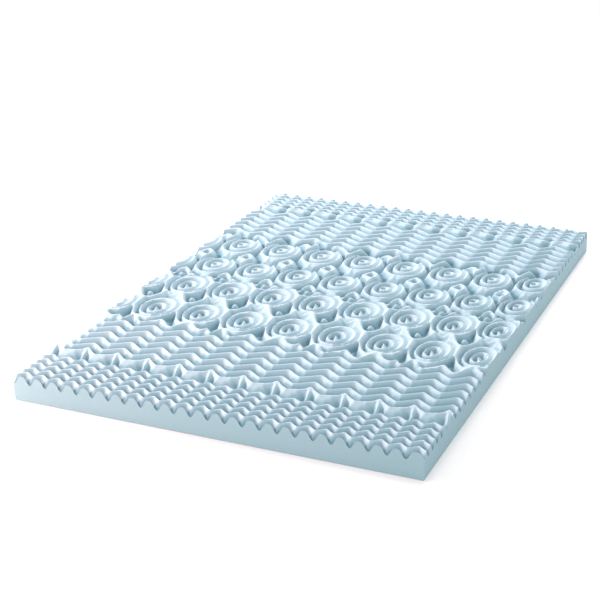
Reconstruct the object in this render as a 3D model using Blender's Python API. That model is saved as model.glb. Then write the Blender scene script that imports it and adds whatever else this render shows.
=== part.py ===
"""Mattress topper: one slab of convoluted foam with a flat underside.

The top is cut in zones that run across the bed: fine zigzag ribs at the foot, a row of deep
pockets, coarse zigzag ribs, then rows of ringed rounds. From mid-length on, the zones come back
in mirror order with ridges and grooves swapped, as the two halves of one cut would be.

The relief is drawn as crest lines and groove lines. The surface is flat between them: a crest
lies at the full height of the slab and a groove at the height of its solid base, unless a
height is given with its points.
Sizes and tables are in millimetres, from the left edge (x) and the foot edge (y). The slab
itself is placed in metres, with its origin under the middle.
"""

import math

import bmesh
import bpy
import numpy as np
from mathutils import Vector
from mathutils.geometry import delaunay_2d_cdt

MM = 0.001

# Driving sizes
WIDTH = 1372.0
LENGTH = 1905.0
HEIGHT = 87.0
BASE_HEIGHT = 57.0

# Fine zigzag ribs: one peak of the zigzag every FINE_STEP across the bed
FINE_STEP = WIDTH / 24.025
FINE_FIRST_PEAK = 34.0
FINE_PITCH = 35.5
FINE_SWING = 20.0
FINE_FIRST_CREST = 1.5
FINE_CRESTS = 6

# Coarse zigzag ribs: a little more of each step rises to the peak than falls from it
COARSE_STEP = 2 * FINE_STEP
COARSE_FIRST_PEAK = -4.0
COARSE_RISE = 0.55
COARSE_SWING = 35.0
COARSE_PEAK_ROWS = (297.0, 345.0, 393.0, 441.0, 489.0)
COARSE_END = 513.0

# The first coarse rib has a narrow hump at each fin (dx from the peak, y)
HUMP_RIB = ((0, 262), (22, 241), (46, 223), (80, 230), (103, 240), (111, 258))
HUMP_ROW = 257.0

# Deep pockets between the fine and the coarse ribs, parted by fins that slope down towards the
# foot edge (dx from the peak, y, height); each pocket is deepest close to the last fine rib
FIN = ((0, 262, 87), (4, 240, 86), (9, 218, 82), (12, 196, 76))
POCKET = (
    (20, 216, 63), (24, 188, 57), (38, 192, 57), (66, 174, 57), (95, 192, 57), (114, 186, 57), (110, 216, 63),
)
# Past the mirror line a deep slot lies at each fin (dx from the peak, y from the rib's row)
BACK_SLOT = ((2, -4), (8, 50))

# Ringed rounds
ROUND_STEP = 3 * FINE_STEP
ROUND_FIRST = 148.0
ROUND_ROWS = (637.0, 853.0)
ROUND_COLUMNS = range(-1, 9)

# Tongue that runs in from the foot of the inner ring and ends in a cone
TONGUE = ((-6, 0, 85), (-3, -12, 83), (2, -28, 82))

# Mirror line of the pattern, a little past mid-length; past it ridges and grooves swap
MIRROR_Y = 0.5 * LENGTH + 8.25

# Near the right edge the pattern is drawn in to the left and back, most at its middle rows: the
# places across the bed where that starts and is full, and by row how far it goes left and back
PULL_START, PULL_FULL = 1000.0, 1347.0
PULL_ROWS = (0.0, 170.0, 600.0, 1300.0, 1750.0, 1905.0)
PULL_LEFT = (0.0, 8.0, 21.0, 21.0, 8.0, 4.0)
PULL_BACK = (0.0, 7.0, 15.0, 15.0, 12.0, 6.0)

# Points closer than this become one, and points this near the outline move onto it
MERGE_REACH = 0.4
EDGE_REACH = 0.8

# Linear colour of the foam
FOAM_COLOUR = (0.50, 0.68, 0.78, 1.0)

# Lines are kept this far outside the slab, so that its edges still feel them
MARGIN = 60.0

# Rings of one round: centre and half sizes, from the middle of the round, the angles between
# which they run, in degrees counter-clockwise from +x, and the points they have
#            dx    dy    half_x half_y start end points
INNER_PIT = (-3.0, -4.0, 15.0, 19.0, -10, 225, 6)
INNER_RING = (-1.0, -7.0, 28.0, 37.0, 0, 360, 11)
MIDDLE_GROOVE = (-1.0, -2.0, 43.0, 53.0, 0, 360, 13)
OUTER_RING = (-1.0, 2.0, 58.5, 72.0, 0, 360, 15)
OUTER_GROOVE = (-1.0, 5.0, 71.0, 81.0, -62, 230, 14)

# Past the mirror line a round has a small ring with a pit in its middle instead of the tongue
EYE = (-7.0, 0.0, 13.0, 15.0, 0, 360, 8)
EYE_PIT = (-7, 0)

# The rings are cut less deep on one side: the angle of that side, and how far the grooves rise
# and the crests fall there
SOFT_SIDE = 12.0
SOFT_GROOVE = 23.0
SOFT_CREST = 3.0
PIT_RISE = 6.0

# Frame of ridges round a round, from the middle of the round (dx, dy)
SIDE_WALL = ((84, -5), (76, 64))
ARCH = (
    (-105, 68, 87), (-89, 63, 85), (-66, 74, 87), (-53, 103, 87), (-46, 142, 87),
    (-14, 119, 75), (12, 147, 87), (36, 118, 87), (66, 68, 87),
)
LOWER_LEFT = ((-87, -5), (-75, -37), (-58, -70), (-46, -74))
LOWER_RIGHT = ((84, -5), (71, -37), (50, -64), (22, -78), (12, -69))

# Dome in the pocket behind each round of the first row, and the groove round it
DOME = ((73, 118, 84), (67, 109, 84), (79, 109, 84), (73, 118, 84))
DOME_GROOVE = ((72, 84), (54, 102), (46, 124), (86, 147), (84, 188), (98, 122), (94, 100), (72, 84))

# Frame of the second row beside the mirror line; it sags between its peaks
HALF_WALL = ((84, -5), (83, 46))
HALF_ARCH_RIGHT = ((83, 46), (60, 68), (44, 88))
HALF_ARCH_LEFT = ((-88, 46, 87), (-72, 68, 77), (-50, 86, 82), (-38, 97, 87), (-24, 93, 84))
MIRROR_DOME = ((84, 99, 82), (97, 99, 80))
MIRROR_GROOVE = ((60, 108), (74, 80), (84, 69), (96, 80), (118, 108))

# Ridge that joins the last coarse rib to the first row of rounds; one repeat is two rounds
# wide (dx from the round that touches the tall spire, y from the foot edge)
JOIN_RIDGE = (
    (-35, 501), (-20, 533), (-4, 562), (12, 562), (38, 524), (63, 511), (83, 531),
    (105, 504), (127, 548), (137, 552), (181, 501), (243, 543), (288, 501),
)
JOIN_LEFT_A = ((-87, 632), (-75, 600), (-58, 567), (-38, 545), (-20, 533))
JOIN_RIGHT_A = ((84, 632), (71, 600), (50, 573), (24, 558), (12, 562))
JOIN_LEFT_B = ((84, 632), (96, 600), (113, 567), (127, 548))
JOIN_RIGHT_B = ((255, 632), (242, 600), (220, 566), (188, 538), (154, 544), (137, 552))
JOIN_POCKET_A = ((30, 546, 72), (52, 541, 64), (76, 553, 57), (85, 604, 57), (93, 560, 57), (102, 528, 57))
JOIN_POCKET_B = ((165, 519), (191, 518), (216, 534), (241, 566), (256, 604), (267, 562), (284, 527))


def fine_drop(x):
    """How far the fine zigzag lies below its peaks at x."""
    phase = (x - FINE_FIRST_PEAK) / FINE_STEP % 1.0
    return FINE_SWING * (1.0 - abs(2.0 * phase - 1.0))


def coarse_drop(x):
    """How far the coarse zigzag lies below its peaks at x."""
    phase = (x - COARSE_FIRST_PEAK) / COARSE_STEP % 1.0
    return COARSE_SWING * min(phase / (1.0 - COARSE_RISE), (1.0 - phase) / COARSE_RISE)


def zigzag_line(peak_y, first_peak, step, rise, swing):
    """One zigzag line across the whole bed, with a point at each peak and trough."""
    line = []
    for k in range(-1, int(WIDTH / step) + 2):
        peak = first_peak + k * step
        line += [(peak, peak_y), (peak + (1.0 - rise) * step, peak_y - swing)]
    return line


def fine_line(peak_y):
    return zigzag_line(peak_y, FINE_FIRST_PEAK, FINE_STEP, 0.5, FINE_SWING)


def coarse_line(peak_y):
    return zigzag_line(peak_y, COARSE_FIRST_PEAK, COARSE_STEP, COARSE_RISE, COARSE_SWING)


def fine_crest_rows():
    return [FINE_FIRST_CREST + FINE_PITCH * k for k in range(FINE_CRESTS)]


def between(rows):
    """Rows midway between neighbours."""
    return [0.5 * (a + b) for a, b in zip(rows, rows[1:])]


def fin_peaks():
    """Places across the bed of the coarse peaks that carry a fin."""
    return [COARSE_FIRST_PEAK + COARSE_STEP * k for k in range(-1, int(WIDTH / COARSE_STEP) + 2)]


def arc(centre, size, level, soft_rise):
    """An oval of size (dx, dy, half_x, half_y, start, end, points) about its centre, at a height
    of level that changes by soft_rise on its soft side."""
    dx, dy, half_x, half_y, start, end, points = size
    line = []
    for k in range(points):
        turn = start + (end - start) * k / (points - 1)
        angle = math.radians(turn)
        x = centre[0] + dx + half_x * math.cos(angle)
        y = centre[1] + dy + half_y * math.sin(angle)
        soft = 0.5 + 0.5 * math.cos(math.radians(turn - SOFT_SIDE))
        line.append((x, y, level + soft_rise * soft ** 2))
    return line


def turned_over(size):
    """The oval as it lies past the mirror line."""
    dx, dy, half_x, half_y, start, end, points = size
    return dx, -dy, half_x, half_y, -end, -start, points


def moved(points, dx, dy):
    return [(point[0] + dx, point[1] + dy) + tuple(point[2:]) for point in points]


def hump_rib():
    """The first coarse rib, across the whole bed."""
    line = []
    for x in fin_peaks():
        line += moved(HUMP_RIB, x, 0)
    return line


def round_centres(row):
    return [(ROUND_FIRST + ROUND_STEP * k, row) for k in ROUND_COLUMNS]


def zigzag_zones():
    """Crest lines and groove lines of both rib zones and the pockets."""
    crests = [fine_line(y) for y in fine_crest_rows()]
    grooves = [fine_line(y) for y in between(fine_crest_rows())]
    crests += [coarse_line(y) for y in COARSE_PEAK_ROWS]
    crests.append(hump_rib())
    grooves += [coarse_line(y) for y in between((HUMP_ROW,) + COARSE_PEAK_ROWS)]
    grooves.append(coarse_line(COARSE_END))
    crests += [moved(FIN, x, 0) for x in fin_peaks()]
    grooves += [moved(POCKET, x, 0) for x in fin_peaks()]
    return crests, grooves


def join_zone():
    """Crest lines and groove lines between the coarse ribs and the first row of rounds."""
    crests, grooves = [], []
    for k in ROUND_COLUMNS:
        if k % 2 == 0:
            continue
        x = ROUND_FIRST + ROUND_STEP * k
        ridge = moved(JOIN_RIDGE, x, 0)
        crests.append(ridge + [(ridge[0][0] + 2 * ROUND_STEP, ridge[0][1])])
        for line in (JOIN_LEFT_A, JOIN_RIGHT_A, JOIN_LEFT_B, JOIN_RIGHT_B):
            crests.append(moved(line, x, 0))
        for line in (JOIN_POCKET_A, JOIN_POCKET_B):
            grooves.append(moved(line, x, 0))
    return crests, grooves


def round_zone():
    """Crest lines and groove lines round the two rows of rounds before the mirror line."""
    crests, grooves = [], []
    for x, y in round_centres(ROUND_ROWS[0]):
        crests += [moved(line, x, y) for line in (SIDE_WALL, ARCH, DOME)]
        grooves.append(moved(DOME_GROOVE, x, y))
    for x, y in round_centres(ROUND_ROWS[1]):
        for line in (LOWER_LEFT, LOWER_RIGHT, HALF_WALL, HALF_ARCH_LEFT, HALF_ARCH_RIGHT):
            crests.append(moved(line, x, y))
        crests.append(moved(MIRROR_DOME, x, y))
        grooves.append(moved(MIRROR_GROOVE, x, y))
    return crests, grooves


def front_round(centre):
    """Crest lines and groove lines of a round before the mirror line."""
    crests = [arc(centre, size, HEIGHT, -SOFT_CREST) for size in (INNER_RING, OUTER_RING)]
    crests.append(moved(TONGUE, *centre))
    grooves = [arc(centre, size, BASE_HEIGHT, SOFT_GROOVE) for size in (MIDDLE_GROOVE, OUTER_GROOVE)]
    grooves.append(arc(centre, INNER_PIT, BASE_HEIGHT, PIT_RISE))
    return crests, grooves


def back_round(centre):
    """Crest lines and groove lines of a round past the mirror line, where they swap."""
    sizes = [turned_over(size) for size in (MIDDLE_GROOVE, OUTER_GROOVE)]
    crests = [arc(centre, size, HEIGHT, -SOFT_CREST) for size in sizes + [EYE]]
    sizes = [turned_over(size) for size in (INNER_RING, OUTER_RING)]
    grooves = [arc(centre, size, BASE_HEIGHT, SOFT_GROOVE) for size in sizes]
    grooves.append(moved([EYE_PIT], *centre))
    return crests, grooves


def rounds():
    """Crest lines and groove lines of all rounds."""
    crests, grooves = [], []
    for row in ROUND_ROWS:
        for x, y in round_centres(row):
            for part in (front_round((x, y)), back_round((x, 2.0 * MIRROR_Y - y))):
                crests += part[0]
                grooves += part[1]
    return with_heights(crests, HEIGHT), with_heights(grooves, BASE_HEIGHT)


def back_slots():
    """Groove lines of the deep slots past the mirror line."""
    row = 2.0 * MIRROR_Y - HUMP_ROW
    return with_heights([moved(BACK_SLOT, x, row) for x in fin_peaks()], BASE_HEIGHT)


def with_heights(lines, level):
    """The lines with a height at each point, level where none is given."""
    return [[point if len(point) == 3 else (point[0], point[1], level) for point in line] for line in lines]


def mirrored(lines):
    """The lines past the mirror line, where a crest is a groove and a groove a crest."""
    return [[(x, 2.0 * MIRROR_Y - y, BASE_HEIGHT + HEIGHT - z) for x, y, z in line] for line in lines]


def pulled(line):
    """The line drawn in near the right edge."""
    result = []
    for x, y, z in line:
        near = max(0.0, (x - PULL_START) / (PULL_FULL - PULL_START)) ** 2
        left = near * np.interp(y, PULL_ROWS, PULL_LEFT)
        back = near * np.interp(y, PULL_ROWS, PULL_BACK)
        result.append((x - left, y + back, z))
    return result


def pattern():
    """All crest lines and groove lines of the slab; past the mirror line they swap."""
    crests, grooves = [], []
    for zone in (zigzag_zones, join_zone, round_zone):
        zone_crests, zone_grooves = zone()
        crests += with_heights(zone_crests, HEIGHT)
        grooves += with_heights(zone_grooves, BASE_HEIGHT)
    round_crests, round_grooves = rounds()
    all_crests = crests + mirrored(grooves) + round_crests
    all_grooves = grooves + mirrored(crests) + round_grooves + back_slots()
    return [pulled(line) for line in all_crests], [pulled(line) for line in all_grooves]


def segments(lines):
    """Start and end points of every piece of the lines, as two arrays."""
    starts, ends = [], []
    for line in lines:
        starts += line[:-1] if len(line) > 1 else line
        ends += line[1:] if len(line) > 1 else line
    return np.array(starts, float), np.array(ends, float)


def nearest(points, lines, chunk=400):
    """Distance of each point to the nearest of the lines, and the line's height there."""
    starts, ends = segments(lines)
    along = (ends - starts)[:, :2]
    squared = np.maximum((along ** 2).sum(axis=1), 1e-9)
    gaps, levels = np.empty(len(points)), np.empty(len(points))
    for first in range(0, len(points), chunk):
        offset = points[first:first + chunk, None, :] - starts[None, :, :2]
        part = np.clip((offset * along).sum(axis=2) / squared, 0.0, 1.0)
        away = np.sqrt(((offset - part[:, :, None] * along) ** 2).sum(axis=2))
        best = away.argmin(axis=1)
        pick = np.arange(len(best))
        gaps[first:first + chunk] = away[pick, best]
        rise = part[pick, best] * (ends[best, 2] - starts[best, 2])
        levels[first:first + chunk] = starts[best, 2] + rise
    return gaps, levels


def heights(points, crests, grooves):
    """Height of the foam at each point, from the nearest crest and the nearest groove."""
    to_crest, top = nearest(points, crests)
    to_groove, bottom = nearest(points, grooves)
    share = to_groove / np.maximum(to_crest + to_groove, 1e-6)
    return bottom + (top - bottom) * share


def edge_line():
    """The slab's outline, with a point at each peak and trough of the fine ribs."""
    inner = [FINE_FIRST_PEAK + 0.5 * FINE_STEP * k for k in range(int(2 * WIDTH / FINE_STEP) + 1)]
    inner = [x for x in inner if EDGE_REACH < x < WIDTH - EDGE_REACH]
    foot = [(0.0, 0.0)] + [(x, 0.0) for x in inner] + [(WIDTH, 0.0)]
    head = [(WIDTH, LENGTH)] + [(x, LENGTH) for x in reversed(inner)] + [(0.0, LENGTH)]
    return foot + head + foot[:1]


def surface_triangles(lines):
    """Triangles over the slab whose sides follow the lines."""
    corners, sides = [], []
    for line in lines:
        first = len(corners)
        corners += [Vector(point[:2]) for point in line]
        sides += [(first + k, first + k + 1) for k in range(len(line) - 1)]
    points, _, faces, _, _, _ = delaunay_2d_cdt(corners, sides, [], 0, MERGE_REACH)
    points = np.array([tuple(point) for point in points])
    kept = []
    for face in faces:
        middle = points[list(face)].mean(axis=0)
        if 0.0 < middle[0] < WIDTH and 0.0 < middle[1] < LENGTH:
            kept.append(tuple(face))
    return points, kept


def snap_to_edges(points):
    """Move points that nearly lie on the slab's outline exactly onto it."""
    for axis, size in enumerate((WIDTH, LENGTH)):
        for edge in (0.0, size):
            points[abs(points[:, axis] - edge) < EDGE_REACH, axis] = edge


def near_slab(lines):
    """The lines without the stretches that lie well outside the slab."""
    kept = []
    for line in lines:
        run = []
        for point in line:
            if -MARGIN < point[0] < WIDTH + MARGIN and -MARGIN < point[1] < LENGTH + MARGIN:
                run.append(point)
            else:
                kept.append(run)
                run = []
        kept.append(run)
    return [run for run in kept if run]


def foam_material():
    """Pale blue foam."""
    material = bpy.data.materials.new("foam")
    material.use_nodes = True
    shader = material.node_tree.nodes["Principled BSDF"]
    shader.inputs["Base Color"].default_value = FOAM_COLOUR
    shader.inputs["Roughness"].default_value = 0.9
    shader.inputs["Metallic"].default_value = 0.0
    return material


def close_slab(mesh, rim):
    """Four upright side faces and the flat underside, from the rim of the top surface."""
    corners = [(0.0, 0.0), (WIDTH, 0.0), (WIDTH, LENGTH), (0.0, LENGTH)]
    feet = [mesh.verts.new(placed(x, y, 0.0)) for x, y in corners]
    for k in range(4):
        start, end = feet[k], feet[(k + 1) % 4]
        axis = k % 2
        fixed = start.co[1 - axis]
        side = [vert for vert in rim if abs(vert.co[1 - axis] - fixed) < 1e-6]
        side.sort(key=lambda vert: vert.co[axis], reverse=end.co[axis] > start.co[axis])
        mesh.faces.new([start, end] + side)
    mesh.faces.new(list(reversed(feet)))


def placed(x, y, z):
    """A point in metres, with the origin under the middle of the slab."""
    return ((x - 0.5 * WIDTH) * MM, (y - 0.5 * LENGTH) * MM, z * MM)


def build_topper():
    crests, grooves = pattern()
    points, faces = surface_triangles(near_slab(crests + grooves) + [edge_line()])
    snap_to_edges(points)
    height = heights(points, crests, grooves)
    mesh = bmesh.new()
    used = sorted({index for face in faces for index in face})
    verts = {index: mesh.verts.new(placed(*points[index], height[index])) for index in used}
    for face in faces:
        mesh.faces.new([verts[index] for index in face])
    rim = [vert for vert in mesh.verts if vert.is_boundary]
    close_slab(mesh, rim)
    bmesh.ops.recalc_face_normals(mesh, faces=mesh.faces)
    data = bpy.data.meshes.new("topper")
    mesh.to_mesh(data)
    mesh.free()
    topper = bpy.data.objects.new("topper", data)
    topper.data.materials.append(foam_material())
    bpy.context.scene.collection.objects.link(topper)
    return topper


def clear_scene():
    for item in list(bpy.data.objects):
        bpy.data.objects.remove(item, do_unlink=True)


clear_scene()
build_topper()
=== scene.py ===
"""Mattress topper: a slab of pale blue convoluted foam on a white studio floor.

The solid from the frame has the true relief in flat facets. Here the same crest lines and groove
lines shape one fine closed mesh with rounded ridges, which stands for that solid.

Patterns are laid out in millimetres from the slab's left foot corner: x across the bed, y from
the foot edge. Meshes, lights and the camera are in metres.
"""

import math

import bpy
import numpy as np
from mathutils import Euler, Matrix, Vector


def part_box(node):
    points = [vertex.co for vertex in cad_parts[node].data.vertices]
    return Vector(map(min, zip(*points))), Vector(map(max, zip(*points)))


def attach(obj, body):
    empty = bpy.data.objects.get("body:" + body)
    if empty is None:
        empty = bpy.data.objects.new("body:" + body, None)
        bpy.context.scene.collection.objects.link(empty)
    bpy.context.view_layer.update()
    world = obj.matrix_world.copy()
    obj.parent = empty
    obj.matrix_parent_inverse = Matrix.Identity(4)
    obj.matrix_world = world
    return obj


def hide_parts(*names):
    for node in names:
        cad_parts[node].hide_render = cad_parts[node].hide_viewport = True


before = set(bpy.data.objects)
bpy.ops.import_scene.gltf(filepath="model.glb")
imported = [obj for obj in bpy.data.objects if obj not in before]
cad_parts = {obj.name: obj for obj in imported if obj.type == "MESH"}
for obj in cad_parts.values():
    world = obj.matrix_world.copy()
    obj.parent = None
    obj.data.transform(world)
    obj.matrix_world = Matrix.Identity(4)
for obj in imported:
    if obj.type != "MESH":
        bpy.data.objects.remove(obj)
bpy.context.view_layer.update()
slab_low, slab_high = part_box("topper")

MM = 0.001

# The slab, from the frame
WIDTH = (slab_high.x - slab_low.x) / MM
LENGTH = (slab_high.y - slab_low.y) / MM
HEIGHT = (slab_high.z - slab_low.z) / MM
CUT_DEPTH = 30.0
BASE_HEIGHT = HEIGHT - CUT_DEPTH

# Fine grid of the top surface: rows follow the zigzags of the rib zones, and on the rounds grid
# points near a line move onto it
COLUMNS_A_STEP = 10
ROWS_A_FINE_RIB = 8
ROW_GAP = 4.9
EDGE_RAMP = 37.0
SNAP_SHARE = 0.45

# Raster on which the relief is worked out, the width of the blur that softens it, and how many
# widths the blur reaches
RASTER_STEP = 2.0
RASTER_MARGIN = 10.0
SOFTNESS = 2.1
SOFT_REACH = 3.0

# Shape of the cut: how far the softening lowers a sharp crest and lifts a groove, the share of its
# flanks' slope that is even from groove to crest, the gap between a groove and a crest below which
# the cut doesn't reach its full depth, and how round the zigzags' corners are
SOFTENED_AWAY = 2.6
EVEN_FLANK = 0.7
FULL_DEPTH_GAP = 12.0
CORNER_ROUNDING = 0.2
CORNER_POINTS = 6

# Fine zigzag ribs
FINE_STEPS_ACROSS = 24.025
FINE_STEP = WIDTH / FINE_STEPS_ACROSS
FINE_FIRST_PEAK = 34.0
FINE_PITCH = 35.5
FINE_SWING = 20.0
FINE_FIRST_CREST = 1.5
FINE_CRESTS = 6

# Coarse zigzag ribs: a little more of each step rises to the peak than falls from it
COARSE_STEP = 2 * FINE_STEP
COARSE_FIRST_PEAK = -4.0
COARSE_RISE = 0.55
COARSE_SWING = 35.0
COARSE_PEAK_ROWS = (297.0, 345.0, 393.0, 441.0, 489.0)
COARSE_END = 513.0

# The first coarse rib has a narrow hump at each fin (dx from the peak, y)
HUMP_RIB = ((0, 262), (22, 241), (46, 223), (80, 230), (103, 240), (111, 258))
HUMP_ROW = 257.0

# Deep pockets between the fine and the coarse ribs, parted by fins that slope down towards the
# foot edge (dx from the peak, y, height); each pocket is deepest close to the last fine rib
FIN = ((0, 262, 87), (4, 240, 86), (9, 218, 82), (12, 196, 76))
POCKET = ((24, 188, 57), (38, 192, 57), (66, 174, 57), (95, 192, 57), (114, 186, 57))
# Their ends rise beside the fins; past the mirror line the surface is plain there
POCKET_ENDS = (((20, 216, 63), (24, 188, 57)), ((110, 216, 63), (114, 186, 57)))
# Past the mirror line a deep slot lies at each fin (dx from the peak, y from the rib's row)
BACK_SLOT = ((2, -4), (8, 50))

# The humps at the foot edge are round and a little broad: how far in, and by what share of the slope
BROAD_EDGE = 20.0
BROAD_SHARE = 0.3
# The last of them runs on to the right corner (distance from the right edge, y, height)
CORNER_HUMP = ((-25, 1, 87), (0, -3, 84))

# Ringed rounds
ROUND_STEP = 3 * FINE_STEP
ROUND_FIRST = 148.0
ROUND_ROWS = (637.0, 853.0)
ROUND_COLUMNS = range(-1, 9)
ROUND_START = 600.0
# Tongue that runs in from the foot of the inner ring and ends in a cone
TONGUE = ((-6, 0, 85), (-3, -12, 83), (2, -28, 82), (4, -44, 82))

# Mirror line of the pattern, a little past the middle; past it ridges and grooves swap
PAST_MIDDLE = 8.25
MIRROR_Y = 0.5 * LENGTH + PAST_MIDDLE

# Near the right edge the pattern is drawn in to the left and back, most at its middle rows: the
# places across the bed where that starts and is full, and by row how far it goes left and back
PULL_START, PULL_FULL = 1000.0, 1347.0
PULL_ROWS = (0.0, 170.0, 600.0, 1300.0, 1750.0, 1905.0)
PULL_LEFT = (0.0, 8.0, 21.0, 21.0, 8.0, 4.0)
PULL_BACK = (0.0, 7.0, 15.0, 15.0, 12.0, 6.0)

# Rings of one round: centre and half sizes, from the middle of the round, and the angles
# between which they run, in degrees counter-clockwise from +x
#            dx    dy    half_x half_y start  end
INNER_PIT = (-3.0, -4.0, 15.0, 19.0, -10, 225)
INNER_RING = (-1.0, -7.0, 28.0, 37.0, 0, 360)
MIDDLE_GROOVE = (-1.0, -2.0, 43.0, 53.0, 0, 360)
OUTER_RING = (-1.0, 2.0, 58.5, 72.0, 0, 360)
OUTER_GROOVE = (-1.0, 5.0, 71.0, 81.0, -62, 230)
RING_BLOB = ((18, 23), (11, 11))
ARC_POINTS = 48

# Past the mirror line a round has a small ring with a pit in its middle instead of the tongue
EYE = (-7.0, 0.0, 13.0, 15.0, 0, 360)
EYE_PIT = ((-10, 2), (-4, -2))

# The rings are cut less deep on one side: the angle of that side, and how far the grooves rise, the
# crests fall and the inner pit rises there
SOFT_SIDE = 12.0
SOFT_GROOVE = 23.0
SOFT_CREST = 3.0
PIT_RISE = 6.0

# Frame of ridges round a round, from the middle of the round (dx, dy)
SIDE_WALL = ((84, -5), (76, 64))
ARCH = (
    (-105, 68, 87), (-89, 63, 85), (-66, 74, 87), (-53, 103, 87), (-46, 142, 87), (-30, 129, 80),
    (-14, 119, 75), (0, 131, 80), (12, 147, 87), (36, 118, 87), (52, 90, 87), (66, 68, 87),
)
LOWER_LEFT = ((-87, -5), (-75, -37), (-58, -70), (-46, -74))
LOWER_RIGHT = ((84, -5), (71, -37), (50, -64), (22, -78), (12, -69))
ARCH_VALLEY = ((-14, 84, 57), (-14, 108, 66))
DOME_GROOVE = ((72, 84), (54, 102), (46, 124), (66, 136), (86, 147), (98, 122), (94, 100), (72, 84))
POCKET_CORNER = ((86, 147), (84, 188))

# Half-round dome in the pocket behind each round of the first row: its middle from the middle of
# the round, half width and top
DOME = (73.0, 112.0)
DOME_HALF, DOME_TOP = 14.5, 84.0

# Frame of the second row beside the mirror line; it sags between its peaks
HALF_WALL = ((84, -5), (83, 46))
HALF_ARCH_RIGHT = ((83, 46), (72, 53), (60, 68), (44, 88))
HALF_ARCH_LEFT = (
    (-88, 46, 87), (-80, 62, 84), (-72, 68, 77), (-62, 76, 76), (-50, 86, 82), (-38, 97, 87), (-24, 93, 84),
)
MIRROR_DOME = ((84, 99, 82), (97, 99, 80))
MIRROR_GROOVE = ((60, 108), (67, 94), (74, 80), (84, 69), (96, 80), (104, 90), (118, 108))

# Ridge that joins the last coarse rib to the first row of rounds; one repeat is two rounds
# wide (dx from the round that touches the tall spire, y from the foot edge)
JOIN_RIDGE = (
    (-35, 501), (-20, 533), (-4, 562), (12, 562), (38, 524), (63, 511), (83, 531),
    (105, 504), (127, 548), (137, 552), (181, 501), (243, 543), (288, 501),
)
JOIN_LEFT_A = ((-87, 632), (-75, 600), (-58, 567), (-38, 545), (-20, 533))
JOIN_RIGHT_A = ((84, 632), (71, 600), (50, 573), (24, 558), (12, 562))
JOIN_LEFT_B = ((84, 632), (96, 600), (113, 567), (127, 548))
JOIN_RIGHT_B = ((255, 632), (242, 600), (220, 566), (188, 538), (154, 544), (137, 552))
JOIN_POCKET_A = ((30, 546, 72), (52, 541, 64), (76, 553, 57), (85, 604, 57), (93, 560, 57), (102, 528, 57))
JOIN_POCKET_B = ((165, 519), (191, 518), (216, 534), (241, 566), (256, 604), (267, 562), (284, 527))

# Painted light on the foam: the heights between which its colour goes from painted shade low in the cut
# to a painted highlight on the ridges, and faint clouds in it, in repeats a metre, with the metres by
# which they shift it
TINT_START = BASE_HEIGHT + 1.0
TINT_END = HEIGHT + 6.0
CLOUD_SCALE, CLOUD_DETAIL = 9.0, 4.0
CLOUD_SHIFT = 0.012

# Pores and grain of the foam in repeats a metre, the size and darkness of the speck of painted shade
# in a pore as shares, the pores' share of the bump, and the bump's strength and its depth in metres
PORE_SCALE = 520.0
PORE_SIZE, PORE_SHADE_DARKNESS = 0.35, 0.28
GRAIN_SCALE, GRAIN_DETAIL = 260.0, 3.0
PORE_SHARE = 0.5
BUMP_STRENGTH, BUMP_DEPTH = 0.35, 0.0012

# Colours, linear
# Painted highlight on the ridges and painted shade at the bottom of the cut, in place of one foam colour
RIDGE_HIGHLIGHT_COLOUR = (0.465, 0.575, 0.64, 1.0)
GROOVE_SHADE_COLOUR = (0.15, 0.30, 0.365, 1.0)
# The sides and underside in a darker flat copy of the foam colour: painted shade
SIDE_SHADE_COLOUR = (0.27, 0.41, 0.465, 1.0)
# Painted shade in each pore
PORE_SHADE_COLOUR = (0.20, 0.34, 0.41, 1.0)
FLOOR_COLOUR = (0.98, 0.89, 0.87, 1.0)
WORLD_COLOUR = (0.86, 0.975, 1.0, 1.0)

# Studio
FLOOR_GLOW = 0.10
FLOOR_SIZE = 60.0
FLOOR_GAP = 0.0005
WORLD_STRENGTH = 0.945
#               place             target            size power  colour
KEY_LIGHT = ((-4.8, 0.2, 2.5), (0.0, 0.1, 0.0), 1.6, 285.0, (1.0, 0.91, 0.93))
FRONT_LIGHT = ((-2.0, -2.0, 0.6), (-0.3, -0.8, 0.0), 0.8, 52.0, (1.0, 0.66, 0.60))
BACK_LIGHT = ((0.3, 3.4, 2.2), (-0.1, 0.0, 0.0), 1.0, 90.0, (1.0, 0.90, 0.93))

# Camera
CAMERA_PLACE = (1.7878, -3.9871, 1.9419)
CAMERA_TURN = (67.174, 0.583, 22.049)
CAMERA_LENS = 79.923
CAMERA_SENSOR = 36.0
CAMERA_SHIFT = (-0.1240, -0.0183)
CAMERA_RANGE = 100.0


# ---------------------------------------------------------------- the pattern's lines


def rounded_corner(share):
    """Share of a zigzag's way from peak to trough, with both corners rounded."""
    return (1.0 - CORNER_ROUNDING) * share + CORNER_ROUNDING * (0.5 - 0.5 * math.cos(math.pi * share))


def fine_drop(x):
    """How far the fine zigzag lies below its peaks at x."""
    phase = (x - FINE_FIRST_PEAK) / FINE_STEP % 1.0
    return FINE_SWING * rounded_corner(1.0 - abs(2.0 * phase - 1.0))


def coarse_drop(x):
    """How far the coarse zigzag lies below its peaks at x."""
    phase = (x - COARSE_FIRST_PEAK) / COARSE_STEP % 1.0
    return COARSE_SWING * rounded_corner(min(phase / (1.0 - COARSE_RISE), (1.0 - phase) / COARSE_RISE))


def zigzag_line(peak_y, drop, step):
    """One zigzag line across the whole bed, whose peaks are at peak_y."""
    gap = step / (2 * CORNER_POINTS)
    places = np.arange(-step, WIDTH + step, gap)
    return [(x, peak_y - drop(x)) for x in places]


def fine_line(peak_y):
    return zigzag_line(peak_y, fine_drop, FINE_STEP)


def coarse_line(peak_y):
    return zigzag_line(peak_y, coarse_drop, COARSE_STEP)


def fine_crest_rows():
    return [FINE_FIRST_CREST + FINE_PITCH * k for k in range(FINE_CRESTS)]


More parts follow.
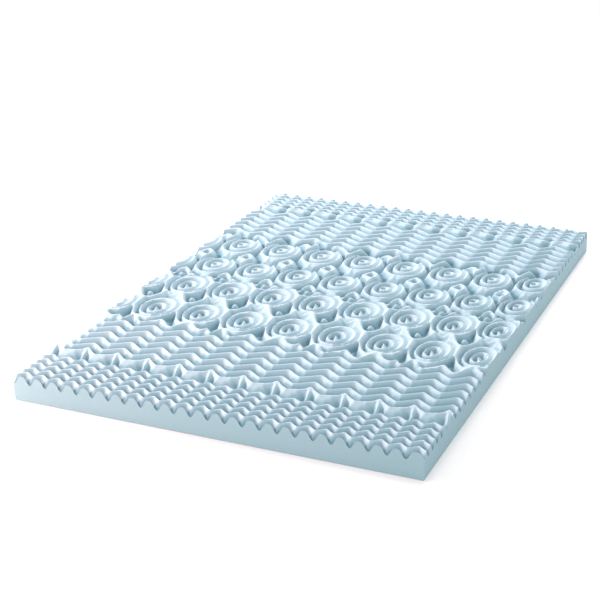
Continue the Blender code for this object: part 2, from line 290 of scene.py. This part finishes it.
def between(rows):
    """Rows midway between neighbours."""
    return [0.5 * (a + b) for a, b in zip(rows, rows[1:])]


def moved(points, dx, dy):
    return [(point[0] + dx, point[1] + dy) + tuple(point[2:]) for point in points]


def fin_peaks():
    """Places across the bed of the coarse peaks that carry a fin."""
    return [COARSE_FIRST_PEAK + COARSE_STEP * k for k in range(-1, int(WIDTH / COARSE_STEP) + 2)]


def hump_rib():
    """The first coarse rib, across the whole bed."""
    line = []
    for x in fin_peaks():
        line += moved(HUMP_RIB, x, 0)
    return line


def arc(centre, size, level, soft_rise):
    """An oval of size (dx, dy, half_x, half_y, start, end) about its centre, at a height of level
    that changes by soft_rise on its soft side."""
    dx, dy, half_x, half_y, start, end = size
    line = []
    for k in range(ARC_POINTS + 1):
        turn = start + (end - start) * k / ARC_POINTS
        angle = math.radians(turn)
        x = centre[0] + dx + half_x * math.cos(angle)
        y = centre[1] + dy + half_y * math.sin(angle)
        soft = 0.5 + 0.5 * math.cos(math.radians(turn - SOFT_SIDE))
        line.append((x, y, level + soft_rise * soft ** 2))
    return line


def turned_over(size):
    """The oval as it lies past the mirror line."""
    dx, dy, half_x, half_y, start, end = size
    return dx, -dy, half_x, half_y, -end, -start


def round_centres(row):
    return [(ROUND_FIRST + ROUND_STEP * k, row) for k in ROUND_COLUMNS]


def zigzag_zones():
    """Crest lines and groove lines of both rib zones and the pockets."""
    coarse_rows = (HUMP_ROW,) + COARSE_PEAK_ROWS
    crests = [fine_line(y) for y in fine_crest_rows()]
    grooves = [fine_line(y) for y in between(fine_crest_rows())]
    crests += [coarse_line(y) for y in COARSE_PEAK_ROWS]
    crests.append(hump_rib())
    grooves += [coarse_line(y) for y in between(coarse_rows)]
    grooves.append(coarse_line(COARSE_END))
    crests += [moved(FIN, x, 0) for x in fin_peaks()]
    grooves += [moved(POCKET, x, 0) for x in fin_peaks()]
    return crests, grooves


def join_zone():
    """Crest lines and groove lines between the coarse ribs and the first row of rounds."""
    crests, grooves = [], []
    for k in ROUND_COLUMNS:
        if k % 2 == 0:
            continue
        x = ROUND_FIRST + ROUND_STEP * k
        ridge = moved(JOIN_RIDGE, x, 0)
        crests.append(ridge + [(ridge[0][0] + 2 * ROUND_STEP, ridge[0][1])])
        for line in (JOIN_LEFT_A, JOIN_RIGHT_A, JOIN_LEFT_B, JOIN_RIGHT_B):
            crests.append(moved(line, x, 0))
        for line in (JOIN_POCKET_A, JOIN_POCKET_B):
            grooves.append(moved(line, x, 0))
    return crests, grooves


def round_zone():
    """Crest lines and groove lines round the two rows of rounds before the mirror line."""
    crests, grooves = [], []
    for x, y in round_centres(ROUND_ROWS[0]):
        crests += [moved(SIDE_WALL, x, y), moved(ARCH, x, y)]
        grooves += [moved(DOME_GROOVE, x, y), moved(POCKET_CORNER, x, y), moved(ARCH_VALLEY, x, y)]
    for x, y in round_centres(ROUND_ROWS[1]):
        for line in (LOWER_LEFT, LOWER_RIGHT, HALF_WALL, HALF_ARCH_LEFT, HALF_ARCH_RIGHT):
            crests.append(moved(line, x, y))
        crests.append(moved(MIRROR_DOME, x, y))
        grooves.append(moved(MIRROR_GROOVE, x, y))
    return crests, grooves


def front_round(centre):
    """Crest lines and groove lines of a round before the mirror line."""
    crests = [arc(centre, size, HEIGHT, -SOFT_CREST) for size in (INNER_RING, OUTER_RING)]
    crests += [moved(RING_BLOB, *centre), moved(TONGUE, *centre)]
    grooves = [arc(centre, size, BASE_HEIGHT, SOFT_GROOVE) for size in (MIDDLE_GROOVE, OUTER_GROOVE)]
    grooves.append(arc(centre, INNER_PIT, BASE_HEIGHT, PIT_RISE))
    return crests, grooves


def back_round(centre):
    """Crest lines and groove lines of a round past the mirror line, where they swap."""
    sizes = [turned_over(size) for size in (MIDDLE_GROOVE, OUTER_GROOVE)]
    crests = [arc(centre, size, HEIGHT, -SOFT_CREST) for size in sizes + [EYE]]
    sizes = [turned_over(size) for size in (INNER_RING, OUTER_RING)]
    grooves = [arc(centre, size, BASE_HEIGHT, SOFT_GROOVE) for size in sizes]
    grooves.append(moved(EYE_PIT, *centre))
    return crests, grooves


def rounds():
    """Crest lines and groove lines of all rounds."""
    crests, grooves = [], []
    for row in ROUND_ROWS:
        for x, y in round_centres(row):
            for part in (front_round((x, y)), back_round((x, 2.0 * MIRROR_Y - y))):
                crests += part[0]
                grooves += part[1]
    return with_heights(crests, HEIGHT), with_heights(grooves, BASE_HEIGHT)


def back_slots():
    """Groove lines of the deep slots past the mirror line."""
    row = 2.0 * MIRROR_Y - HUMP_ROW
    return with_heights([moved(BACK_SLOT, x, row) for x in fin_peaks()], BASE_HEIGHT)


def pocket_ends():
    """Groove lines of the pockets' ends, before the mirror line only."""
    return [moved(line, x, 0) for x in fin_peaks() for line in POCKET_ENDS]


def with_heights(lines, level):
    """The lines with a height at each point, level where none is given."""
    return [[point if len(point) == 3 else (point[0], point[1], level) for point in line] for line in lines]


def mirrored(lines):
    """The lines past the mirror line, where a crest is a groove and a groove a crest."""
    return [[(x, 2.0 * MIRROR_Y - y, BASE_HEIGHT + HEIGHT - z) for x, y, z in line] for line in lines]


def pull_share(x):
    """How much of its full measure the pattern is drawn in at x."""
    return np.maximum(0.0, (x - PULL_START) / (PULL_FULL - PULL_START)) ** 2


def pulled(line):
    """The line drawn in near the right edge."""
    result = []
    for point in line:
        near = pull_share(point[0])
        left = near * np.interp(point[1], PULL_ROWS, PULL_LEFT)
        back = near * np.interp(point[1], PULL_ROWS, PULL_BACK)
        result.append((point[0] - left, point[1] + back) + tuple(point[2:]))
    return result


def pattern():
    """All crest lines and groove lines of the slab; past the mirror line they swap."""
    crests, grooves = [], []
    for zone in (zigzag_zones, join_zone, round_zone):
        zone_crests, zone_grooves = zone()
        crests += with_heights(zone_crests, HEIGHT)
        grooves += with_heights(zone_grooves, BASE_HEIGHT)
    round_crests, round_grooves = rounds()
    all_crests = crests + mirrored(grooves) + round_crests + [moved(CORNER_HUMP, WIDTH, 0)]
    all_grooves = grooves + mirrored(crests) + round_grooves + pocket_ends() + back_slots()
    return [pulled(line) for line in all_crests], [pulled(line) for line in all_grooves]


# ---------------------------------------------------------------- the relief's height


class LineField:
    """Finds the nearest point of a set of lines, cell by cell."""

    CELL = 36.0
    REACH = 50.0
    CELLS_A_ROW = 10000
    FAR = 1e3
    SHORTEST_SQUARED = 1e-9

    def __init__(self, lines):
        starts, ends = [], []
        for line in lines:
            starts += line[:-1] if len(line) > 1 else line
            ends += line[1:] if len(line) > 1 else line
        starts, ends = np.array(starts, float), np.array(ends, float)
        self.starts = starts[:, :2]
        self.along = ends[:, :2] - starts[:, :2]
        self.levels = starts[:, 2]
        self.rises = ends[:, 2] - starts[:, 2]
        self.squared = np.maximum((self.along ** 2).sum(axis=1), self.SHORTEST_SQUARED)
        self.low = np.minimum(starts, ends)[:, :2] - self.REACH
        self.high = np.maximum(starts, ends)[:, :2] + self.REACH

    def cell_groups(self, points):
        """Indices of the points, one array for each cell that holds any."""
        cells = np.floor(points / self.CELL).astype(int)
        keys = cells[:, 0] + self.CELLS_A_ROW * cells[:, 1]
        order = np.argsort(keys, kind="stable")
        splits = np.flatnonzero(np.diff(keys[order])) + 1
        return np.split(order, splits)

    def nearest(self, points):
        """Distance to the nearest line at each point, and the nearest place and height there."""
        gap = np.full(len(points), self.FAR)
        level = np.full(len(points), HEIGHT)
        foot = points.copy()
        for index in self.cell_groups(points):
            here = points[index]
            low, high = here.min(axis=0), here.max(axis=0)
            near = np.flatnonzero(((self.low < high) & (self.high > low)).all(axis=1))
            if len(near) == 0:
                continue
            offset_x = here[:, :1] - self.starts[near, 0]
            offset_y = here[:, 1:] - self.starts[near, 1]
            along_x, along_y = self.along[near, 0], self.along[near, 1]
            share = np.clip((offset_x * along_x + offset_y * along_y) / self.squared[near], 0.0, 1.0)
            offset_x -= share * along_x
            offset_y -= share * along_y
            squared = offset_x ** 2 + offset_y ** 2
            best = squared.argmin(axis=1)
            pick = np.arange(len(here))
            gap[index] = np.sqrt(squared[pick, best])
            foot[index, 0] = here[:, 0] - offset_x[pick, best]
            foot[index, 1] = here[:, 1] - offset_y[pick, best]
            level[index] = self.levels[near][best] + share[pick, best] * self.rises[near][best]
        return gap, foot, level


def dome_heights(points):
    """Height of the half-round domes at each point, 0 beside them."""
    result = np.zeros(len(points))
    for x, y in round_centres(ROUND_ROWS[0]):
        middle = pulled([(x + DOME[0], y + DOME[1])])[0]
        away = np.hypot(points[:, 0] - middle[0], points[:, 1] - middle[1]) / DOME_HALF
        dome = BASE_HEIGHT + (DOME_TOP - BASE_HEIGHT) * np.sqrt(np.clip(1.0 - away ** 2, 0.0, 1.0))
        result = np.where(away < 1.0, dome, result)
    return result


def flank(share, even):
    """Height share of the cut from a groove, 0, to a crest, 1, for a given share of even slope."""
    waved = 0.5 - 0.5 * np.cos(math.pi * share)
    return even * share + (1.0 - even) * waved


def softened(heights):
    """The raster after a blur that rounds every crease."""
    reach = int(SOFT_REACH * SOFTNESS / RASTER_STEP)
    steps = np.arange(-reach, reach + 1)
    weights = np.exp(-0.5 * (steps * RASTER_STEP / SOFTNESS) ** 2)
    weights /= weights.sum()
    for axis in (0, 1):
        padding = [(0, 0), (0, 0)]
        padding[axis] = (reach, reach)
        wide = np.pad(heights, padding, mode="edge")
        places = np.arange(heights.shape[axis])
        heights = sum(weight * wide.take(places + k, axis) for k, weight in enumerate(weights))
    return heights


class Relief:
    """Height of the foam's top over the slab."""

    NARROWEST_GAP = 1e-6

    def __init__(self):
        crests, grooves = pattern()
        self.crests = LineField(crests)
        self.grooves = LineField(grooves)
        x = np.arange(-RASTER_MARGIN, WIDTH + RASTER_MARGIN, RASTER_STEP)
        y = np.arange(-RASTER_MARGIN, LENGTH + RASTER_MARGIN, RASTER_STEP)
        places = np.column_stack((np.tile(x, len(y)), np.repeat(y, len(x))))
        self.raster = np.minimum(softened(self.creased(places).reshape(len(y), len(x))), HEIGHT)
        self.slope_y, self.slope_x = np.gradient(self.raster, RASTER_STEP)

    def creased(self, points):
        """Heights before the softening, from the nearest crest and the nearest groove."""
        to_crest, _, top = self.crests.nearest(points)
        to_groove, _, bottom = self.grooves.nearest(points)
        gap = to_crest + to_groove
        edge = np.clip(1.0 - points[:, 1] / BROAD_EDGE, 0.0, 1.0)
        share = (to_groove / np.maximum(gap, self.NARROWEST_GAP)) ** (1.0 - BROAD_SHARE * edge)
        reach = np.sin(0.5 * math.pi * np.clip(gap / FULL_DEPTH_GAP, 0.0, 1.0))
        top, bottom = top + SOFTENED_AWAY, bottom - SOFTENED_AWAY
        heights = top - (top - bottom) * (1.0 - flank(share, EVEN_FLANK * (1.0 - edge))) * reach
        heights = np.maximum(heights, dome_heights(points))
        turned = np.column_stack((points[:, 0], 2.0 * MIRROR_Y - points[:, 1]))
        return np.minimum(heights, BASE_HEIGHT + HEIGHT - dome_heights(turned))

    def read(self, layer, points):
        """The raster layer's value at each point, between its four neighbours."""
        place = (points + RASTER_MARGIN) / RASTER_STEP
        column = np.clip(place[:, 0].astype(int), 0, layer.shape[1] - 2)
        row = np.clip(place[:, 1].astype(int), 0, layer.shape[0] - 2)
        across, along = place[:, 0] - column, place[:, 1] - row
        near = layer[row, column] * (1.0 - across) + layer[row, column + 1] * across
        far = layer[row + 1, column] * (1.0 - across) + layer[row + 1, column + 1] * across
        return near * (1.0 - along) + far * along

    def heights(self, points):
        return self.read(self.raster, points)

    def normals(self, points):
        """Upward unit normals of the relief."""
        slopes = [-self.read(layer, points) for layer in (self.slope_x, self.slope_y)]
        normals = np.column_stack(slopes + [np.ones(len(points))])
        return normals / np.linalg.norm(normals, axis=1)[:, None]

    def snapped(self, points, free):
        """Free points near a crest or groove line moved onto it."""
        to_crest, crest_foot, _ = self.crests.nearest(points)
        to_groove, groove_foot, _ = self.grooves.nearest(points)
        target = np.where((to_crest <= to_groove)[:, None], crest_foot, groove_foot)
        near = free & (np.abs(target - points) < SNAP_SHARE * ROW_GAP).all(axis=1)
        return np.where(near[:, None], target, points)


# ---------------------------------------------------------------- the slab's mesh


def placed(points, heights):
    """Pattern places and heights as points in metres in the frame."""
    x = slab_low.x + points[:, 0] * MM
    y = slab_low.y + points[:, 1] * MM
    z = slab_low.z + heights * MM
    return np.column_stack((x, y, z))


def column_places():
    """Columns of the grid, one at each peak and trough of the fine zigzags."""
    gap = FINE_STEP / COLUMNS_A_STEP
    first = FINE_FIRST_PEAK % gap
    inner = np.arange(first, WIDTH, gap)
    inner = inner[(inner > 0.5 * gap) & (inner < WIDTH - 0.5 * gap)]
    return np.concatenate(([0.0], inner, [WIDTH]))


def spread(start, end, gap):
    """Evenly spaced rows from just past start to end, about gap apart."""
    count = round((end - start) / gap)
    return [start + (end - start) * k / count for k in range(1, count + 1)]


def row_levels():
    """Rows of the grid before the mirror line, by the place of their zigzag's peaks."""
    fine_rows = fine_crest_rows()
    levels = spread(fine_rows[0], fine_rows[-1], FINE_PITCH / ROWS_A_FINE_RIB)
    stops = (fine_rows[-1], HUMP_ROW) + COARSE_PEAK_ROWS + (COARSE_END, MIRROR_Y)
    for start, end in zip(stops, stops[1:]):
        levels += spread(start, end, ROW_GAP)
    return np.array(levels)


def row_places(levels, first, x, rows):
    """Where rows run: along the zigzags in the rib zones, straight at the edge and on the rounds.
    The rows say how far the pattern is drawn in there."""
    last_fine = fine_crest_rows()[-1]
    stops = (first, first + EDGE_RAMP, last_fine, HUMP_ROW, COARSE_END, ROUND_START)
    fine_share = np.interp(levels, stops, (0, 1, 1, 0, 0, 0))[:, None]
    coarse_share = np.interp(levels, stops, (0, 0, 0, 1, 1, 0))[:, None]
    near = pull_share(x)
    left = np.interp(rows, PULL_ROWS, PULL_LEFT)[:, None] * near
    fine = np.vectorize(fine_drop)(x + left)
    coarse = np.vectorize(coarse_drop)(x + left)
    return levels[:, None] - fine_share * fine - coarse_share * coarse


def pulled_back(y, x):
    """Rows of the grid, drawn in near the right edge as the pattern is."""
    near = pull_share(x)
    room = np.clip(np.minimum(y, LENGTH - y) / EDGE_RAMP, 0.0, 1.0)
    return y + near * room * np.interp(y, PULL_ROWS, PULL_BACK)


def top_grid(relief):
    """The top's grid points as rows and columns, moved onto the rounds' lines where these are near."""
    x = column_places()
    levels = row_levels()
    head = 2.0 * MIRROR_Y - LENGTH
    foot_rows = row_places(levels, 0.0, x, levels)
    head_levels = levels[(levels > head + 0.5 * ROW_GAP) & (levels < levels[-1])]
    head_rows = 2.0 * MIRROR_Y - row_places(head_levels, head, x, 2.0 * MIRROR_Y - head_levels)[::-1]
    foot_edge = np.zeros((1, len(x)))
    head_edge = np.full((1, len(x)), LENGTH)
    y = pulled_back(np.concatenate((foot_edge, foot_rows, head_rows, head_edge)), x)
    points = np.column_stack((np.tile(x, len(y)), y.ravel()))
    inner_x = (points[:, 0] > 0.0) & (points[:, 0] < WIDTH)
    on_rounds = np.abs(points[:, 1] - MIRROR_Y) < MIRROR_Y - COARSE_END
    return relief.snapped(points, inner_x & on_rounds), y.shape


def top_faces(relief, points, heights, shape):
    """Two triangles a cell; the diagonal that lies closer to the relief is taken."""
    index = np.arange(len(points)).reshape(shape)
    a, b = index[:-1, :-1].ravel(), index[:-1, 1:].ravel()
    c, d = index[1:, 1:].ravel(), index[1:, :-1].ravel()
    error_ac = np.abs(relief.heights(0.5 * (points[a] + points[c])) - 0.5 * (heights[a] + heights[c]))
    error_bd = np.abs(relief.heights(0.5 * (points[b] + points[d])) - 0.5 * (heights[b] + heights[d]))
    pick = (error_ac <= error_bd)[:, None]
    first = np.where(pick, np.column_stack((a, b, c)), np.column_stack((a, b, d)))
    second = np.where(pick, np.column_stack((a, c, d)), np.column_stack((b, c, d)))
    rim = np.concatenate((index[0, :-1], index[:-1, -1], index[-1, :0:-1], index[:0:-1, 0]))
    return np.concatenate((first, second)), rim


def set_normals(mesh, normals, top_count):
    """Shade the top by the relief's own normals, and the sides and underside flat."""
    starts = np.zeros(len(mesh.polygons), int)
    mesh.polygons.foreach_get("loop_start", starts)
    corner_verts = np.zeros(len(mesh.loops), int)
    mesh.loops.foreach_get("vertex_index", corner_verts)
    face_normals = np.zeros(3 * len(mesh.polygons))
    mesh.polygons.foreach_get("normal", face_normals)
    totals = np.diff(np.append(starts, len(mesh.loops)))
    corners = np.repeat(face_normals.reshape(-1, 3), totals, axis=0)
    top_corners = starts[top_count]
    corners[:top_corners] = normals[corner_verts[:top_corners]]
    mesh.normals_split_custom_set(corners.tolist())


def slab_mesh(relief):
    """The whole slab as one closed mesh with a fine top, four upright sides and a flat underside,
    with the pattern places of its top points and the number of its top faces."""
    points, shape = top_grid(relief)
    heights = relief.heights(points)
    faces, rim = top_faces(relief, points, heights, shape)
    verts = placed(points, heights)
    feet = verts[rim].copy()
    feet[:, 2] = slab_low.z
    foot_index = len(verts) + np.arange(len(rim))
    sides = np.column_stack((foot_index, np.roll(foot_index, -1), np.roll(rim, -1), rim))
    mesh = bpy.data.meshes.new("foam_slab")
    all_faces = faces.tolist() + sides.tolist() + [foot_index[::-1].tolist()]
    mesh.from_pydata(np.concatenate((verts, feet)).tolist(), [], all_faces)
    return mesh, points, len(faces)


def build_slab():
    """The slab with its materials: the relief shaded smooth, the sides and underside flat."""
    relief = Relief()
    mesh, points, top_count = slab_mesh(relief)
    on_top = np.arange(len(mesh.polygons)) < top_count
    mesh.polygons.foreach_set("use_smooth", on_top)
    # The top's colour is painted lighter on the ridges and darker in the cut: painted highlight and painted
    # shade
    mesh.materials.append(foam_material("foam", GROOVE_SHADE_COLOUR, RIDGE_HIGHLIGHT_COLOUR))
    # The sides and underside in a darker flat copy of the foam colour: painted shade
    mesh.materials.append(foam_material("foam_side", SIDE_SHADE_COLOUR, SIDE_SHADE_COLOUR))
    mesh.polygons.foreach_set("material_index", (~on_top).astype(np.int32))
    mesh.update()
    set_normals(mesh, relief.normals(points), top_count)
    slab = bpy.data.objects.new("foam_slab", mesh)
    bpy.context.scene.collection.objects.link(slab)
    return slab


# ---------------------------------------------------------------- materials


def add_node(tree, kind, values, **settings):
    """A new node with its settings, and with values in the inputs that they name or number."""
    node = tree.nodes.new(kind)
    for name, setting in settings.items():
        setattr(node, name, setting)
    for name, value in values.items():
        node.inputs[name].default_value = value
    return node


def painted_light_by_height(tree, place, low_colour, high_colour):
    """Painted light: colour from low_colour, painted shade at the bottom of the cut, to high_colour, a
    painted highlight on its ridges, a little uneven."""
    split = add_node(tree, "ShaderNodeSeparateXYZ", {})
    cloud = add_node(tree, "ShaderNodeTexNoise", {"Scale": CLOUD_SCALE, "Detail": CLOUD_DETAIL})
    uneven = add_node(tree, "ShaderNodeMath", {1: CLOUD_SHIFT}, operation="MULTIPLY_ADD")
    heights = {"From Min": TINT_START * MM, "From Max": TINT_END * MM}
    rise = add_node(tree, "ShaderNodeMapRange", heights, interpolation_type="SMOOTHSTEP")
    tint = add_node(tree, "ShaderNodeMix", {"A": low_colour, "B": high_colour}, data_type="RGBA")
    tree.links.new(place.outputs["Object"], split.inputs["Vector"])
    tree.links.new(place.outputs["Object"], cloud.inputs["Vector"])
    tree.links.new(cloud.outputs["Fac"], uneven.inputs[0])
    tree.links.new(split.outputs["Z"], uneven.inputs[2])
    tree.links.new(uneven.outputs["Value"], rise.inputs["Value"])
    tree.links.new(rise.outputs["Result"], tint.inputs["Factor"])
    return tint


def pore_shade_specks(tree, pores, tint):
    """The tint with a darker speck of painted shade in each pore."""
    shades = {"From Min": 0.0, "From Max": PORE_SIZE, "To Min": PORE_SHADE_DARKNESS, "To Max": 0.0}
    mask = add_node(tree, "ShaderNodeMapRange", shades)
    specks = add_node(tree, "ShaderNodeMix", {"B": PORE_SHADE_COLOUR}, data_type="RGBA")
    tree.links.new(pores.outputs["Distance"], mask.inputs["Value"])
    tree.links.new(mask.outputs["Result"], specks.inputs["Factor"])
    tree.links.new(tint.outputs["Result"], specks.inputs["A"])
    return specks


def pore_bump(tree, place, pores):
    """Fine unevenness from the pores and from grain between them."""
    grain = add_node(tree, "ShaderNodeTexNoise", {"Scale": GRAIN_SCALE, "Detail": GRAIN_DETAIL})
    relief = add_node(tree, "ShaderNodeMath", {1: PORE_SHARE}, operation="MULTIPLY_ADD")
    bump = add_node(tree, "ShaderNodeBump", {"Strength": BUMP_STRENGTH, "Distance": BUMP_DEPTH})
    tree.links.new(place.outputs["Object"], grain.inputs["Vector"])
    tree.links.new(pores.outputs["Distance"], relief.inputs[0])
    tree.links.new(grain.outputs["Fac"], relief.inputs[2])
    tree.links.new(relief.outputs["Value"], bump.inputs["Height"])
    return bump


def foam_material(name, low_colour, high_colour):
    """Pale blue open-cell foam: matt, soft, with fine pores and faint variation of colour, with painted
    shade in its pores, in low_colour as painted shade at the bottom of the cut and high_colour as a
    painted highlight on its ridges."""
    material = bpy.data.materials.new(name)
    material.use_nodes = True
    tree = material.node_tree
    shader = tree.nodes["Principled BSDF"]
    shader.inputs["Roughness"].default_value = 0.92
    shader.inputs["Specular IOR Level"].default_value = 0.25
    shader.inputs["Sheen Weight"].default_value = 0.25
    shader.inputs["Sheen Roughness"].default_value = 0.6
    place = add_node(tree, "ShaderNodeTexCoord", {})
    pores = add_node(tree, "ShaderNodeTexVoronoi", {"Scale": PORE_SCALE})
    tree.links.new(place.outputs["Object"], pores.inputs["Vector"])
    # The base colour carries the painted highlight and painted shade by height, and painted shade in the
    # pores
    specks = pore_shade_specks(tree, pores, painted_light_by_height(tree, place, low_colour, high_colour))
    tree.links.new(specks.outputs["Result"], shader.inputs["Base Color"])
    bump = pore_bump(tree, place, pores)
    tree.links.new(bump.outputs["Normal"], shader.inputs["Normal"])
    return material


def floor_material():
    material = bpy.data.materials.new("studio_floor")
    material.use_nodes = True
    shader = material.node_tree.nodes["Principled BSDF"]
    shader.inputs["Base Color"].default_value = FLOOR_COLOUR
    shader.inputs["Roughness"].default_value = 0.9
    shader.inputs["Specular IOR Level"].default_value = 0.1
    shader.inputs["Emission Color"].default_value = (1.0, 1.0, 1.0, 1.0)
    shader.inputs["Emission Strength"].default_value = FLOOR_GLOW
    return material


# ---------------------------------------------------------------- studio


def add_floor():
    bpy.ops.mesh.primitive_plane_add(size=FLOOR_SIZE, location=(0.0, 0.0, slab_low.z - FLOOR_GAP))
    floor = bpy.context.object
    floor.name = "studio_floor"
    floor.data.materials.append(floor_material())


def add_light(name, place, target, size, power, colour):
    light = bpy.data.lights.new(name, "AREA")
    light.shape = "DISK"
    light.size = size
    light.energy = power
    light.color = colour
    item = bpy.data.objects.new(name, light)
    item.location = place
    item.rotation_euler = (Vector(target) - Vector(place)).to_track_quat("-Z", "Y").to_euler()
    bpy.context.scene.collection.objects.link(item)


def add_world():
    world = bpy.data.worlds.new("studio")
    world.use_nodes = True
    background = world.node_tree.nodes["Background"]
    background.inputs["Color"].default_value = WORLD_COLOUR
    background.inputs["Strength"].default_value = WORLD_STRENGTH
    bpy.context.scene.world = world


def add_camera():
    data = bpy.data.cameras.new("camera")
    data.lens = CAMERA_LENS
    data.sensor_width = CAMERA_SENSOR
    data.shift_x, data.shift_y = CAMERA_SHIFT
    data.clip_end = CAMERA_RANGE
    camera = bpy.data.objects.new("camera", data)
    camera.location = CAMERA_PLACE
    camera.rotation_euler = Euler([math.radians(angle) for angle in CAMERA_TURN], "XYZ")
    bpy.context.scene.collection.objects.link(camera)
    bpy.context.scene.camera = camera


add_camera()
slab = build_slab()
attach(slab, "root")
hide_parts("topper")

add_floor()
add_light("key", *KEY_LIGHT)
add_light("front", *FRONT_LIGHT)
add_light("back", *BACK_LIGHT)
add_world()
bpy.context.scene.view_settings.view_transform = "Standard"
